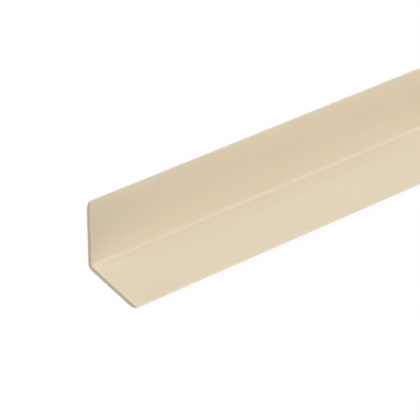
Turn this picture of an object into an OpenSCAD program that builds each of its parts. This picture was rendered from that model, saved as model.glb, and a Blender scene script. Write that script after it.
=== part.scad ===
// Corner angle: one length of extruded hard plastic with an L-shaped section.
// One leg lies flat on the floor and the other stands up along its back edge.
// The stock runs along X, the upright leg is on the +Y side, and the origin is
// in the middle of the flat leg's underside.

/* [Stock] */
// Length of the stock, from one saw cut to the other
stock_length = 1000; // [100:10:3000]

/* [Legs] */
// Height of the upright leg, from the underside to its free edge
upright_leg = 20; // [10:0.5:60]
// Width of the flat leg, from the back to its free edge
flat_leg = 20; // [10:0.5:60]
// Thickness of the wall, the same in both legs
wall = 1.5; // [1:0.1:3]

/* [Corner] */
// Radius round the outside of the heel, where the legs meet
heel_radius = 1.4; // [0.4:0.1:3]
// Radius of the fillet in the inside corner
root_radius = 0.8; // [0.2:0.1:3]

/* [Free edges] */
// Radius of the long arc that eases the outer side of each leg down to its free edge
edge_radius = 6; // [1:0.1:12]
// Width of the flat land that is left on each free edge
edge_land = 0.2; // [0.1:0.05:0.9]

/* [Hidden] */

// The easing of a free edge is an arc that starts level with the outer face,
// ease_length back from the edge, and ends ease_depth under that face.
ease_depth = min(edge_radius, wall - edge_land);
ease_length = sqrt(edge_radius ^ 2 - (edge_radius - ease_depth) ^ 2);

// How far a cutting shape reaches past the material that it trims.
cut_margin = 1;
arc_sides = 128;

// What lies outside a circle in the corner at the origin, which the circle touches on both axes.
module corner_waste(radius) {
    difference() {
        translate([-cut_margin, -cut_margin]) square(radius + cut_margin);
        translate([radius, radius]) circle(r = radius, $fn = arc_sides);
    }
}

// What is trimmed off a free edge at the origin, on a leg whose outer face lies on the x axis.
module edge_waste() {
    translate([-ease_length, 0]) difference() {
        translate([0, -cut_margin]) square([ease_length + cut_margin, ease_depth + cut_margin]);
        translate([0, edge_radius]) circle(r = edge_radius, $fn = arc_sides);
    }
}

// One leg from the heel at the origin, with its outer face on the x axis and its free edge at width.
module leg_section(width) {
    difference() {
        square([width, wall]);
        translate([width, 0]) edge_waste();
    }
}

// Turns a leg along x into one along y, so that both outer faces meet at the origin.
module other_leg() {
    mirror([1, -1]) children();
}

// The fillet that fills the inside corner.
module root_section() {
    translate([wall, wall]) difference() {
        square(root_radius);
        translate([root_radius, root_radius]) circle(r = root_radius, $fn = arc_sides);
    }
}

// The whole section, with the flat leg along x and the upright leg along y.
module angle_section() {
    difference() {
        union() {
            leg_section(flat_leg);
            other_leg() leg_section(upright_leg);
            root_section();
        }
        corner_waste(heel_radius);
    }
}

// The section drawn out along X. The flat leg points to -Y and the upright leg stands at the back.
module corner_angle() {
    color("#e0d0b2")
        translate([stock_length / 2, flat_leg / 2, 0])
            rotate([90, 0, -90])
                linear_extrude(height = stock_length) angle_section();
}

corner_angle();
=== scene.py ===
# %% [markdown]
# # A bar of corner angle in hard plastic
# The real object is one metre of beige PVC with an L-shaped section. It is pressed warm through a
# die and sawn to length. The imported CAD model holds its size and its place, so that is loaded first
# and stays fixed. All that follows dresses it, in metres and in the same frame.

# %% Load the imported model
import math

import bpy
import numpy as np
from mathutils import Matrix, Vector


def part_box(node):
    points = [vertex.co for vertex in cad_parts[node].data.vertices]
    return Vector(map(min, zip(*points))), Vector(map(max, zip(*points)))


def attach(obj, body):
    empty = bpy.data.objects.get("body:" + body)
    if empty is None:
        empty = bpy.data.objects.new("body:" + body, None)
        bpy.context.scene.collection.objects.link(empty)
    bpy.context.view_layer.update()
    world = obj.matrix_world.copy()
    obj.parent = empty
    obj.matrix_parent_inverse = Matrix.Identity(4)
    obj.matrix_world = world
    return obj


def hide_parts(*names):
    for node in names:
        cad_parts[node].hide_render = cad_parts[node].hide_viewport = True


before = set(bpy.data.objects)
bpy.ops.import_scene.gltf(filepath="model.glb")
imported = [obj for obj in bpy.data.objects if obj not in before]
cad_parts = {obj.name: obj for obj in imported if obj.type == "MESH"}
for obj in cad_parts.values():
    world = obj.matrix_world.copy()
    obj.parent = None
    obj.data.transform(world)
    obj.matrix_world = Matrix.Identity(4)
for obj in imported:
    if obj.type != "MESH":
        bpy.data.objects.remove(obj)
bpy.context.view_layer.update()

scene = bpy.context.scene

# %% [markdown]
# ## Sizes
# A bar is its section and its length, so these are the few sizes that stand on the drawing of a die.
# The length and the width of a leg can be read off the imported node's box. The wall and the radii
# can't, so they are named here.

# %% Sizes of the section
millimetre = 0.001
node_low, node_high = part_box("corner_angle")
stock_length = node_high.x - node_low.x
leg_width = node_high.z - node_low.z
wall = 1.5 * millimetre
heel_radius = 1.4 * millimetre
root_radius = 0.8 * millimetre
easing_radius = 6.0 * millimetre
edge_land = 0.2 * millimetre
easing_length = math.sqrt(easing_radius**2 - (easing_radius - wall + edge_land) ** 2)
print(f"bar {stock_length:.3f} m long, legs {leg_width:.4f} m, easing {easing_length:.5f} m wide")

# %% [markdown]
# ## Lines and arcs
# The die was cut from straights and arcs, and the section here is too. Each run is worked out as a
# whole array of points. Drawing the same line by hand, point by point, would leave small kinks that
# a satin surface shows as bands.

# %% Helpers for lines in the plane of the section
def arc(centre, radius, start, end, steps):
    """Points on a circle: centre plus radius times (cos a, sin a), with a in even steps of degrees."""
    a = np.radians(np.linspace(start, end, steps + 1))[:, None]
    return np.array(centre) + radius * np.concatenate([np.cos(a), np.sin(a)], axis=1)


def straight(start, end, steps):
    """Points on a line: the start plus t times the way to the end, with t in even steps from 0 to 1."""
    t = np.linspace(0, 1, steps + 1)[:, None]
    return np.array(start) + t * (np.array(end) - np.array(start))


def joined(*runs):
    """Runs that follow on from each other, as one line. A shared point is kept once."""
    return np.concatenate([runs[0]] + [run[1:] for run in runs[1:]])


bend = joined(straight((1, -1), (1, 0), 1), arc((0, 0), 1, 0, 90, 2))
print("a short line with a bend after it:", bend.round(2).tolist())

# %% [markdown]
# ## One leg of the section
# Half of an L is one leg, from the diagonal of the corner to the free edge. Its outer line runs
# round the heel, along the face, and up the long arc that eases the free edge. Its inner line runs
# from the root fillet along the inner face. Real plastic has no sharp arris, so two small arcs round
# off the narrow land at the edge. The inner one is the larger, and softens the top of the upright.
#
# The outline takes an inset. Every arc keeps its centre while its radius changes by the inset, and
# every straight moves over by it, so all the outlines are truly parallel. That gives the inward
# direction at each point for nothing.

# %% The outline of one leg
outer_arris = 0.06 * millimetre
inner_arris = 0.16 * millimetre
corner_steps = 10
face_steps = 58
easing_steps = 14
arris_steps = 5
# Directions from the centre of an arc, in degrees
to_heel, downwards, upwards = 225, 270, 90


def leg_lines(inset):
    """The leg's outer and inner line in (width, height), parallel to the true outline and inset inside it."""
    easing_foot = leg_width - easing_length
    arris_side = easing_length - outer_arris
    arris_drop = math.sqrt((easing_radius - outer_arris) ** 2 - arris_side**2)
    easing_end = 360 - math.degrees(math.atan2(arris_drop, arris_side))
    low_arris = (leg_width - outer_arris, easing_radius - arris_drop)
    outer = joined(
        arc((heel_radius, heel_radius), heel_radius - inset, to_heel, downwards, corner_steps),
        straight((heel_radius, inset), (easing_foot, inset), face_steps),
        arc((easing_foot, easing_radius), easing_radius - inset, downwards, easing_end, easing_steps),
        arc(low_arris, outer_arris - inset, easing_end, 360, arris_steps),
    )
    root = wall + root_radius
    high_arris = (leg_width - inner_arris, wall - inner_arris)
    inner_face_end = (high_arris[0], wall - inset)
    inner = joined(
        arc((root, root), root_radius + inset, to_heel, downwards, corner_steps),
        straight((root, wall - inset), inner_face_end, face_steps + easing_steps),
        arc(high_arris, inner_arris - inset, upwards, 0, arris_steps),
    )
    return outer, inner


print("points on each line of a leg:", [len(line) for line in leg_lines(0.0)])

# %% [markdown]
# ## The whole section
# The legs are alike, so the upright is the flat leg with width and height changed over. The two
# lines and the lands between their ends make one closed ring. Its points come in the same order for
# every inset, so rings can be joined to each other without any search.

# %% The closed ring
wall_steps = 8
small_inset = outer_arris / 2


def section_lines(inset):
    """The outer and inner line from the flat leg's free edge round the corner to the upright's."""
    return [np.concatenate([line[:0:-1], line[:, ::-1]]) for line in leg_lines(inset)]


def ring(inset):
    """The closed outline: the outer line, the upright's land, the inner line back, the flat leg's land."""
    outer, inner = section_lines(inset)
    across = np.linspace(0, 1, wall_steps + 1)[1:-1, None]
    top_land = outer[-1] + across * (inner[-1] - outer[-1])
    front_land = inner[0] + across * (outer[0] - inner[0])
    return np.concatenate([outer, top_land, inner[::-1], front_land])


outline = ring(0.0)
inward = (ring(small_inset) - outline) / small_inset
ring_count = len(outline)
print("points round the section:", ring_count)

# %% [markdown]
# ## Stations along the bar
# A saw leaves a corner that a scraper or a thumb then softens. The skin turns over that corner in a
# quarter circle, and the rings stand close together there and spread out towards the middle. Evenly
# spaced rings would smear the shading of the rounded corner along the first long face.

# %% Where the rings stand
saw_round = 0.12 * millimetre
round_steps = 5
gather_start = 1.4 * saw_round
gather_steps = 9
station_gap = 10 * millimetre

turn = np.radians(np.linspace(90, 0, round_steps + 1))
round_distance = saw_round * (1 - np.sin(turn))
round_inset = saw_round * (1 - np.cos(turn))
gathered = np.geomspace(gather_start, station_gap, gather_steps)[:-1]
even_count = round(stock_length / station_gap) - 1
even = np.linspace(station_gap, stock_length - station_gap, even_count)
one_end = np.concatenate([round_distance, gathered])
distance = np.concatenate([one_end, even, stock_length - one_end[::-1]])
station_inset = np.zeros(len(distance))
station_inset[: round_steps + 1] = round_inset
station_inset[-round_steps - 1 :] = round_inset[::-1]
print("rings along the bar:", len(distance))

# %% [markdown]
# ## The skin
# A die and a calibrator draw faint lines along a bar, a few thousandths of a millimetre deep, and
# the haul-off leaves slow, shallow waves. Bump in a material could show them, but the mesh itself
# would stay dead flat, so here they are shape. Both only ever take plastic away from the outline.
# They are whole numbers of sine waves round the ring, so that they meet where the ring closes.

# %% Lines of the die and waves of the haul-off
line_depth = 0.004 * millimetre
wave_depth = 0.012 * millimetre
drift_share = 0.25
drift_length = 310 * millimetre
leaning_wave = 190 * millimetre
level_wave = 83 * millimetre
# Each set of die lines: how many round the ring, how strong, how it drifts and where it starts
line_sets = ((11, 1.0, 1, 0.0), (26, 0.7, -2, 1.9), (49, 0.5, 1, 4.2))


def die_lines(around, along):
    """The sum of the sets of lines, sine waves round the ring that drift down the bar, from 0 to 1."""
    drift = drift_share * np.sin(2 * np.pi * along / drift_length)
    total = 0.0
    for count, strength, pull, start in line_sets:
        total = total + strength * np.sin(2 * np.pi * (count * around + pull * drift) + start)
    return (total / sum(strength for _, strength, _, _ in line_sets) + 1) / 2


def haul_off_waves(around, along):
    """Two sine waves down the bar, of which one leans from one leg to the other, from 0 to 1."""
    leaning = np.sin(2 * np.pi * (along / leaning_wave + around))
    level = np.sin(2 * np.pi * along / level_wave)
    return (leaning + level + 2) / 4


# %% The skin with its relief
steps_round = np.linalg.norm(np.roll(outline, -1, axis=0) - outline, axis=1)
around = (np.cumsum(steps_round) - steps_round)[None, :] / steps_round.sum()
along = distance[:, None]
relief = line_depth * die_lines(around, along) + wave_depth * haul_off_waves(around, along)
depth = station_inset[:, None] + relief
skin = outline[None] + depth[..., None] * inward[None]
print(f"relief of the skin: {relief.min() * 1e6:.1f} to {relief.max() * 1e6:.1f} thousandths of a mm")

# %% [markdown]
# ## The sawn ends
# A circular saw leaves shallow, nearly parallel arcs, one for each pass of its teeth. They follow
# the distance from the blade's centre, which is a formula for the whole face at once. The marks are
# shape here, and the finer scratches between them are left to the material.

# %% Marks of the saw
blade_centre = (95 * millimetre, 70 * millimetre)
tooth_pitch = 1.1 * millimetre
tooth_depth = 0.010 * millimetre
wobble = 1.5
wobble_rate = 0.9


def saw_marks(points):
    """Depth of the cut in the section: a sine of the distance from the blade's centre, with a wobble."""
    reach = np.linalg.norm(points - np.array(blade_centre), axis=-1) / tooth_pitch
    return tooth_depth * (1 + np.sin(2 * np.pi * reach + wobble * np.sin(wobble_rate * reach))) / 2


marked = np.clip(station_inset / saw_round, 0, 1)[:, None] * saw_marks(skin)
into_bar = np.where(distance < stock_length / 2, 1.0, -1.0)[:, None]
skin_x = node_low.x + distance[:, None] + into_bar * marked
print(f"deepest saw mark: {marked.max() * 1e6:.1f} thousandths of a mm")

# %% [markdown]
# ## Tints that follow the shape: painted light and a paler crease
# The upright's free edge thins out, and light from behind gets in there. It spreads down inside the
# wall and comes out of the inner face warmer than it went in, and that warm light is painted into
# the colour here. The very edge, where the plastic is thinnest, is painted paler, a painted pale
# light. A little light gets in at the cut as well and dies away within a millimetre, and this light
# is painted too. The skin on both sides of the root fillet is slightly paler and cooler. So each
# point gets a tint, three numbers near 1 that the finish multiplies its beige with.

# %% Where each tint shows, as shares from 0 to 1
leak_share = 0.8
leak_reach = 0.35 * millimetre
spread_start = 11.0 * millimetre
spread_bend = 1.45
# Height on the upright where the painted pale light at the edge begins
edge_light_start = 18.0 * millimetre
# How far the paler, cooler tint reaches from the root fillet
crease_pale_reach = 4.5 * millimetre


def ramp(value, start, end):
    """0 up to the start and 1 from the end on, with an even climb between them."""
    return np.clip((value - start) / (end - start), 0, 1)


def bell(distance_away, reach):
    """1 at no distance, falling away as e to the minus square of the distance over the reach."""
    return np.exp(-((distance_away / reach) ** 2))


upright_height = np.where(np.isclose(outline[:, 0], wall), outline[:, 1], 0.0)
on_inner_line = outline.min(axis=1) > wall - outer_arris
from_corner = np.where(on_inner_line, outline.max(axis=1) - wall, np.inf)
from_cut = np.minimum(distance, stock_length - distance)[:, None]
spread = ramp(upright_height, spread_start, leg_width) ** spread_bend
leaking = leak_share * np.exp(-from_cut / leak_reach) * (upright_height > wall)
coming_through = np.clip(spread + leaking, 0, 1)
each_ring = (len(distance), 1)
# Share of the paler, cooler tint on both sides of the root fillet
crease_pale_share = np.tile(bell(from_corner, crease_pale_reach) * (1 - bell(from_corner, root_radius)), each_ring)
# Share of the painted pale light at the upright's very edge
edge_light_share = np.tile(ramp(upright_height, edge_light_start, leg_width), each_ring)
print(f"most light coming through: {coming_through.max():.2f}, most chalk: {crease_pale_share.max():.2f}")

# %% The tint of each point of the skin
lit_through = np.array((1.090, 1.055, 1.010))
# Painted pale light at the upright's very edge
pale_edge_light = np.array((1.020, 1.076, 1.125))
# A paler, cooler tint around the root fillet
crease_pale_tint = np.array((1.000, 1.010, 1.040))
tint_attribute = "paint"

skin_paint = 1 + crease_pale_share[..., None] * (crease_pale_tint - 1)
skin_paint = skin_paint * (1 + coming_through[..., None] * (lit_through - 1))
skin_paint = skin_paint + edge_light_share[..., None] * (pale_edge_light - skin_paint)
print("tint of the skin:", skin_paint.min(axis=(0, 1)).round(3), "to", skin_paint.max(axis=(0, 1)).round(3))

# %% [markdown]
# ## From the section to the mesh
# Width in the section runs forward from the back of the bar, and height runs up from the floor. The
# skin is a grid of rings and stations, closed round the ring. One flat face could close each end,
# but the saw marks would have no points to move. So each cut face is a second grid, ruled between
# the outer and the inner line. Its rim uses the last ring's own points, and the bar is one closed
# surface without a seam.

# %% Helpers for grids of points
line_count = 2 * (corner_steps + face_steps + easing_steps + arris_steps) + 1


def in_place(x, section):
    """Points in the row frame: x as it is, y back from the bar's back by the width, z up by the height."""
    y = node_high.y - section[..., 0]
    z = node_low.z + section[..., 1]
    return np.stack([np.broadcast_to(x, y.shape), y, z], axis=-1)


def rim_numbers(first):
    """Numbers of the ring's points on a grid of line by wall, with -1 for the points inside the rim."""
    numbers = np.full((line_count, wall_steps + 1), -1)
    numbers[:, 0] = np.arange(line_count)
    numbers[-1, 1:-1] = line_count + np.arange(wall_steps - 1)
    numbers[:, -1] = line_count + wall_steps - 1 + np.arange(line_count)[::-1]
    numbers[0, 1:-1] = ring_count - 1 - np.arange(wall_steps - 1)
    return np.where(numbers < 0, -1, numbers + first)


def quads(grid):
    """The four-sided faces of a grid of point numbers, one row for each face."""
    corners = [grid[:-1, :-1], grid[:-1, 1:], grid[1:, 1:], grid[1:, :-1]]
    return np.stack(corners, axis=-1).reshape(-1, 4)


print("grid of a cut face:", line_count, "by", wall_steps + 1, "points")

# %% The points and faces of the skin and of both cuts
def cut_face(station, first_new):
    """The new points inside one cut face, and the face's whole grid of numbers."""
    numbers = rim_numbers(station * ring_count)
    section = skin[station]
    outer = section[:line_count, None]
    inner = section[line_count + wall_steps - 1 :][:line_count][::-1, None]
    across = np.linspace(0, 1, wall_steps + 1)[None, :, None]
    inside = (outer + across * (inner - outer))[1:-1, 1:-1]
    end_x = node_low.x + distance[station] + into_bar[station] * saw_marks(inside)
    numbers[1:-1, 1:-1] = first_new + np.arange(end_x.size).reshape(end_x.shape)
    return in_place(end_x, inside).reshape(-1, 3), numbers


skin_points = in_place(skin_x, skin).reshape(-1, 3)
skin_numbers = np.arange(len(skin_points)).reshape(len(distance), ring_count)
skin_faces = quads(np.concatenate([skin_numbers, skin_numbers[:, :1]], axis=1))
near_points, near_numbers = cut_face(0, len(skin_points))
far_points, far_numbers = cut_face(len(distance) - 1, len(skin_points) + len(near_points))
end_faces = np.concatenate([quads(near_numbers), quads(far_numbers)[:, ::-1]])
points = np.concatenate([skin_points, near_points, far_points])
paint = np.concatenate([skin_paint.reshape(-1, 3), np.ones((len(near_points) + len(far_points), 3))])
print("points:", len(points), "faces:", len(skin_faces) + len(end_faces))

# %% [markdown]
# ## The bar
# The arrays go into one mesh, with smooth shading, since every real corner is rounded by its own
# faces. The volume inside a closed mesh is a sixth of the sum of its faces' triple products. It
# comes out positive where the faces point outwards, so its sign says whether they need turning. Its
# size can be held against the real bar's, which a command that only turns the faces wouldn't tell.

# %% Turn the faces outwards
def enclosed_volume(corners, faces):
    """A sixth of the sum of a . (b x c) over the two triangles of each face."""
    a, b, c, d = (corners[faces[:, i]] for i in range(4))
    return (np.einsum("ij,ij->", a, np.cross(b, c)) + np.einsum("ij,ij->", a, np.cross(c, d))) / 6


faces = np.concatenate([skin_faces, end_faces])
volume = enclosed_volume(points, faces)
if volume < 0:
    faces = faces[:, ::-1]
print(f"volume {volume * 1e6:.3f} cm3 before any turn of the faces")

# %% Make the mesh
skin_slot, cut_slot = 0, 1

slot_of_face = np.repeat([skin_slot, cut_slot], [len(skin_faces), len(end_faces)])
mesh = bpy.data.meshes.new("angle_bar")
mesh.from_pydata(points.tolist(), [], faces.tolist())
mesh.polygons.foreach_set("use_smooth", np.ones(len(faces), bool))
mesh.polygons.foreach_set("material_index", slot_of_face)
mesh.attributes.new(tint_attribute, "FLOAT_VECTOR", "POINT").data.foreach_set("vector", paint.ravel())
mesh.update()
angle_bar = bpy.data.objects.new("angle_bar", mesh)
scene.collection.objects.link(angle_bar)
print("mesh:", len(mesh.vertices), "points,", len(mesh.polygons), "faces")

# %% [markdown]
# ## Extruded skin
# Hard PVC off the calibrator is satin: smooth, with a soft, wide gloss. The pigment is mixed in all
# through, so the colour hardly changes, and what change there is runs out into long streaks. Two
# noises read at Object coordinates and pulled out along the bar give that, one for colour and gloss
# and one for a fine grain in the surface. A flat colour would look like paper. The tints worked out
# above are laid over the beige last.

# %% A new finish in PVC
pvc_ior = 1.54
scatter_depth = 0.25 * millimetre


def pvc_finish(name):
    """A material, its nodes and its Principled shader, set to bend and scatter light as hard PVC does."""
    material = bpy.data.materials.new(name)
    material.use_nodes = True
    shader = material.node_tree.nodes["Principled BSDF"]
    shader.inputs["IOR"].default_value = pvc_ior
    shader.inputs["Subsurface Weight"].default_value = 1.0
    shader.inputs["Subsurface Radius"].default_value = (1.0, 1.0, 1.0)
    shader.inputs["Subsurface Scale"].default_value = scatter_depth
    return material, material.node_tree, shader


print(f"PVC bends light by {pvc_ior} and scatters it {scatter_depth / millimetre:.2f} mm deep")

# %% Noise pulled out along the bar
usual_low, usual_high = 0.3, 0.7


def stretched_noise(tree, width, pull, detail):
    """Noise whose grains are width metres across and pull times as long down the bar."""
    place = tree.nodes.new("ShaderNodeTexCoord")
    squeeze = tree.nodes.new("ShaderNodeMapping")
    squeeze.inputs["Scale"].default_value = (1 / (width * pull), 1 / width, 1 / width)
    noise = tree.nodes.new("ShaderNodeTexNoise")
    noise.inputs["Scale"].default_value = 1.0
    noise.inputs["Detail"].default_value = detail
    tree.links.new(place.outputs["Object"], squeeze.inputs["Vector"])
    tree.links.new(squeeze.outputs["Vector"], noise.inputs["Vector"])
    return noise.outputs["Fac"]


def ranged(tree, value, low, high):
    """The range that noise usually keeps to, stretched to run from low to high."""
    stretch = tree.nodes.new("ShaderNodeMapRange")
    stretch.inputs["From Min"].default_value = usual_low
    stretch.inputs["From Max"].default_value = usual_high
    stretch.inputs["To Min"].default_value = low
    stretch.inputs["To Max"].default_value = high
    tree.links.new(value, stretch.inputs["Value"])
    return stretch.outputs["Result"]


print("noise mostly keeps between", usual_low, "and", usual_high)

# %% Relief and colour out of noise
def raised(tree, height, relief_depth):
    """Bump whose whole range is relief_depth metres high."""
    bump = tree.nodes.new("ShaderNodeBump")
    bump.inputs["Strength"].default_value = 1.0
    bump.inputs["Distance"].default_value = relief_depth
    tree.links.new(height, bump.inputs["Height"])
    return bump.outputs["Normal"]


def between(tree, factor, first, second):
    """A colour between two, by a factor from 0 to 1."""
    mix = tree.nodes.new("ShaderNodeMix")
    mix.data_type = "RGBA"
    mix.inputs["A"].default_value = (*first, 1.0)
    mix.inputs["B"].default_value = (*second, 1.0)
    tree.links.new(factor, mix.inputs["Factor"])
    return mix.outputs["Result"]


def painted(tree, colour, attribute):
    """The colour times the tint that the mesh carries as an attribute."""
    paint_on_mesh = tree.nodes.new("ShaderNodeAttribute")
    paint_on_mesh.attribute_name = attribute
    mix = tree.nodes.new("ShaderNodeMix")
    mix.data_type = "RGBA"
    mix.blend_type = "MULTIPLY"
    mix.inputs["Factor"].default_value = 1.0
    tree.links.new(colour, mix.inputs["A"])
    tree.links.new(paint_on_mesh.outputs["Color"], mix.inputs["B"])
    return mix.outputs["Result"]


# %% The finish of the skin
pvc_beige = (0.723, 0.635, 0.488)
pvc_beige_light = (0.736, 0.647, 0.501)
skin_roughness = (0.25, 0.27)
streak_width = 4 * millimetre
grain_width = 0.5 * millimetre
grain_depth = 0.003 * millimetre

extruded_skin, skin_tree, skin_shader = pvc_finish("extruded_skin")
streaks = stretched_noise(skin_tree, streak_width, pull=12, detail=2)
grain = stretched_noise(skin_tree, grain_width, pull=3, detail=2)
streaked = between(skin_tree, ranged(skin_tree, streaks, 0.0, 1.0), pvc_beige, pvc_beige_light)
# The tint carries the painted light at the upright's edge and near the cut
skin_tree.links.new(painted(skin_tree, streaked, tint_attribute), skin_shader.inputs["Base Color"])
skin_tree.links.new(ranged(skin_tree, streaks, *skin_roughness), skin_shader.inputs["Roughness"])
skin_tree.links.new(raised(skin_tree, grain, grain_depth), skin_shader.inputs["Normal"])
angle_bar.data.materials.append(extruded_skin)
print("skin finish:", len(skin_tree.nodes), "nodes, roughness", skin_roughness)

# %% [markdown]
# ## Sawn plastic
# The cut goes through the same plastic, but the fresh surface has no skin over it, so its beige is a
# little warmer. The teeth roughen it, which takes the gloss away and leaves fine scratches. It is a
# second finish on the same piece, because the bar is one solid and the cut is only its end.

# %% The finish of the cut
cut_beige = (0.800, 0.694, 0.492)
cut_beige_light = (0.812, 0.706, 0.504)
cut_roughness = (0.62, 0.72)
scratch_width = 0.12 * millimetre
scratch_depth = 0.006 * millimetre

sawn_end, sawn_tree, sawn_shader = pvc_finish("sawn_end")
scratches = stretched_noise(sawn_tree, scratch_width, pull=1, detail=3)
scratched = between(sawn_tree, ranged(sawn_tree, scratches, 0.0, 1.0), cut_beige, cut_beige_light)
sawn_tree.links.new(scratched, sawn_shader.inputs["Base Color"])
sawn_tree.links.new(ranged(sawn_tree, scratches, *cut_roughness), sawn_shader.inputs["Roughness"])
sawn_tree.links.new(raised(sawn_tree, scratches, scratch_depth), sawn_shader.inputs["Normal"])
angle_bar.data.materials.append(sawn_end)
print("cut finish:", len(sawn_tree.nodes), "nodes, roughness", cut_roughness)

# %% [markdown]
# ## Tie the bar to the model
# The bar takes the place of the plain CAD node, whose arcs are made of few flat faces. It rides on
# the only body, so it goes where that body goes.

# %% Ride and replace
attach(angle_bar, "root")
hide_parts("corner_angle")

# %% [markdown]
# ## Floor and backdrop
# The bar lies on a plain floor that looks white and keeps a faint shadow. A floor that truly threw
# back that much light would fill in the sawn end and the lower faces. So the camera, gloss and
# see-through rays meet a bright floor, and the light that the bar receives comes off a grey one. It
# is grey paper under the bar and a darker card to the left of the sawn end, which keeps the cut and
# the near end of the upright a little deeper. The world does the same: white to look at, and dimmer
# as a lamp.

# %% A switch between what is seen and what lights
def seen_directly(tree):
    """1 for camera, glossy and transmission rays, and 0 for the rest: the largest of the three flags."""
    path = tree.nodes.new("ShaderNodeLightPath")
    first = tree.nodes.new("ShaderNodeMath")
    second = tree.nodes.new("ShaderNodeMath")
    first.operation = second.operation = "MAXIMUM"
    tree.links.new(path.outputs["Is Camera Ray"], first.inputs[0])
    tree.links.new(path.outputs["Is Glossy Ray"], first.inputs[1])
    tree.links.new(first.outputs[0], second.inputs[0])
    tree.links.new(path.outputs["Is Transmission Ray"], second.inputs[1])
    return second.outputs[0]


def mixed(tree, factor, first, second):
    """One shader for a factor of 0 and the other for 1. The factor is a number or a node's output."""
    mix = tree.nodes.new("ShaderNodeMixShader")
    if isinstance(factor, float):
        mix.inputs[0].default_value = factor
    else:
        tree.links.new(factor, mix.inputs[0])
    tree.links.new(first, mix.inputs[1])
    tree.links.new(second, mix.inputs[2])
    return mix.outputs[0]


# %% Plain shaders, and the edge between two papers
def plain_shader(tree, kind, grey):
    """A diffuse, emission or background shader of one grey."""
    shader = tree.nodes.new(kind)
    shader.inputs["Color"].default_value = (grey, grey, grey, 1.0)
    return shader.outputs[0]


def right_of(tree, edge, blend):
    """0 left of the edge and 1 right of it, with an even climb over blend metres before it, along x."""
    place = tree.nodes.new("ShaderNodeTexCoord")
    parts = tree.nodes.new("ShaderNodeSeparateXYZ")
    climb = tree.nodes.new("ShaderNodeMapRange")
    climb.inputs["From Min"].default_value = edge - blend
    climb.inputs["From Max"].default_value = edge
    tree.links.new(place.outputs["Object"], parts.inputs["Vector"])
    tree.links.new(parts.outputs["X"], climb.inputs["Value"])
    return climb.outputs["Result"]


# %% The floor's sheet
floor_reach = 6.0
floor_gap = 0.02 * millimetre
facing_up = (0, 2, 3, 1)

sides = (-floor_reach, floor_reach)
corners = [(x, y, node_low.z - floor_gap) for x in sides for y in sides]
floor_mesh = bpy.data.meshes.new("floor")
floor_mesh.from_pydata(corners, [], [facing_up])
floor = bpy.data.objects.new("floor", floor_mesh)
scene.collection.objects.link(floor)
print(f"floor {2 * floor_reach:.0f} m wide, {floor_gap / millimetre:.2f} mm under the bar")

# %% What the floor shows, and what it lights the bar with
paper_grey = 0.36
card_grey = 0.08
card_blend = 0.5 * millimetre
floor_white = 0.97
shadow_share = 0.05

floor_finish = bpy.data.materials.new("floor_finish")
floor_finish.use_nodes = True
floor_tree = floor_finish.node_tree
floor_tree.nodes.clear()
shown_floor = mixed(
    floor_tree,
    shadow_share,
    plain_shader(floor_tree, "ShaderNodeEmission", 1.0),
    plain_shader(floor_tree, "ShaderNodeBsdfDiffuse", floor_white),
)
lit_floor = mixed(
    floor_tree,
    right_of(floor_tree, node_low.x, card_blend),
    plain_shader(floor_tree, "ShaderNodeBsdfDiffuse", card_grey),
    plain_shader(floor_tree, "ShaderNodeBsdfDiffuse", paper_grey),
)
finished_floor = mixed(floor_tree, seen_directly(floor_tree), lit_floor, shown_floor)
floor_out = floor_tree.nodes.new("ShaderNodeOutputMaterial")
floor_tree.links.new(finished_floor, floor_out.inputs["Surface"])
# The floor glows only where it is seen directly, so Cycles doesn't count it among the lamps
floor_finish.cycles.emission_sampling = "NONE"
floor_mesh.materials.append(floor_finish)
print(f"floor: paper {paper_grey}, card {card_grey}, shadow at {shadow_share:.0%} of its depth")

# %% [markdown]
# ## Light
# An even white world is the big soft tent of a product studio. Four wide lamps stand beyond it, as
# softboxes would: a faintly warm one in front, a faintly cool one overhead, a plain one behind on
# the left and a low one behind. The flat leg looks up at the cool lamp and comes out brightest. The
# upright faces the warm one and is a little deeper, and the sawn end, which only the left lamp
# reaches well, is the darkest. The low lamp keeps the bar's back from turning grey. Sun lamps with a
# wide angle light the whole metre evenly, where a softbox close by would leave the far end darker.
# The Standard view shows the colours as they are lit, where others would bend them like film.

# %% The world
tent_strength = 0.5

scene.view_settings.view_transform = "Standard"
studio = bpy.data.worlds.new("studio")
studio.use_nodes = True
studio_tree = studio.node_tree
studio_tree.nodes.clear()
tent = plain_shader(studio_tree, "ShaderNodeBackground", tent_strength)
backdrop = plain_shader(studio_tree, "ShaderNodeBackground", 1.0)
finished_world = mixed(studio_tree, seen_directly(studio_tree), tent, backdrop)
studio_out = studio_tree.nodes.new("ShaderNodeOutputWorld")
studio_tree.links.new(finished_world, studio_out.inputs["Surface"])
scene.world = studio
print("world: white to look at, and", tent_strength, "as a lamp")

# %% The lamps
warm = (1.0, 0.95, 0.95)
cool = (0.9, 1.0, 1.07)
plain = (1.0, 1.0, 1.0)
# Each softbox: azimuth and elevation in degrees, strength in watts per square metre, and tone
softboxes = {
    "front": (-10, 25, 1.29, warm),
    "overhead": (0, 75, 0.65, cool),
    "left_behind": (-100, 50, 0.73, plain),
    "behind": (180, 20, 0.7, plain),
}
softbox_spread = math.radians(30)


def towards(azimuth, elevation):
    """The way to a light: azimuth in degrees from the front, rightwards, and elevation above the floor."""
    across, height = math.radians(azimuth), math.radians(elevation)
    level_part = math.cos(height)
    return Vector((math.sin(across) * level_part, -math.cos(across) * level_part, math.sin(height)))


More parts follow.
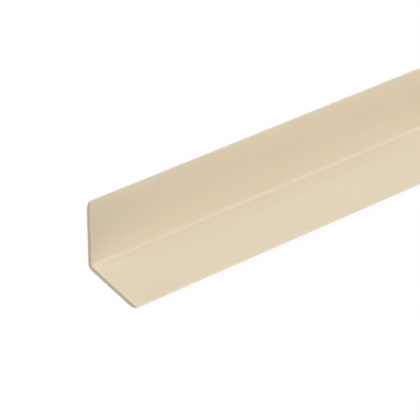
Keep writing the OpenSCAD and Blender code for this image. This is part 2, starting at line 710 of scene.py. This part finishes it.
for name, (azimuth, elevation, strength, tone) in softboxes.items():
    lamp_data = bpy.data.lights.new(name, "SUN")
    lamp_data.energy = strength
    lamp_data.angle = softbox_spread
    lamp_data.color = tone
    lamp = bpy.data.objects.new(name, lamp_data)
    lamp.rotation_mode = "QUATERNION"
    lamp.rotation_quaternion = towards(azimuth, elevation).to_track_quat("Z", "Y")
    scene.collection.objects.link(lamp)
print("lamps:", ", ".join(softboxes))

# %% [markdown]
# ## Camera
# The view is from the front left and above with a long lens, so the edges of the bar stay nearly
# parallel. It was worked out from the straight edges of the object: the two angles and a slight
# roll, the lens, and where the lower back corner of the near end falls in a frame of 420 by 420.

# %% The photograph's view
frame_pixels = 420
camera_azimuth = math.radians(-36.48)
camera_elevation = math.radians(36.28)
camera_roll = math.radians(0.88)
# Width of the sensor and length of the lens, in millimetres
sensor = 36.0
lens = 178.82
# The lower back corner of the near end: pixels from the frame's left and top, metres from the camera
heel_across = 88.19
heel_down = 267.95
heel_depth = 0.4822

# %% Where the camera stands and how it is turned
back = Vector((
    math.sin(camera_azimuth) * math.cos(camera_elevation),
    -math.cos(camera_azimuth) * math.cos(camera_elevation),
    math.sin(camera_elevation),
))
level = Vector((math.cos(camera_azimuth), math.sin(camera_azimuth), 0.0))
right = level * math.cos(camera_roll) + back.cross(level) * math.sin(camera_roll)
up = back.cross(right)
metres_per_pixel = heel_depth * sensor / lens / frame_pixels
heel = Vector((node_low.x, node_high.y, node_low.z))
place = (
    heel
    - right * (heel_across - frame_pixels / 2) * metres_per_pixel
    + up * (heel_down - frame_pixels / 2) * metres_per_pixel
    + back * heel_depth
)
print("camera at", [round(x, 4) for x in place])

# %% The camera
nearest_seen = 10 * millimetre

camera_data = bpy.data.cameras.new("camera")
camera_data.sensor_width = sensor
camera_data.lens = lens
camera_data.clip_start = nearest_seen
camera = bpy.data.objects.new("camera", camera_data)
camera.matrix_world = Matrix.Translation(place) @ Matrix((right, up, back)).transposed().to_4x4()
scene.collection.objects.link(camera)
scene.camera = camera
print("lens", lens, "mm on a sensor", sensor, "mm wide")
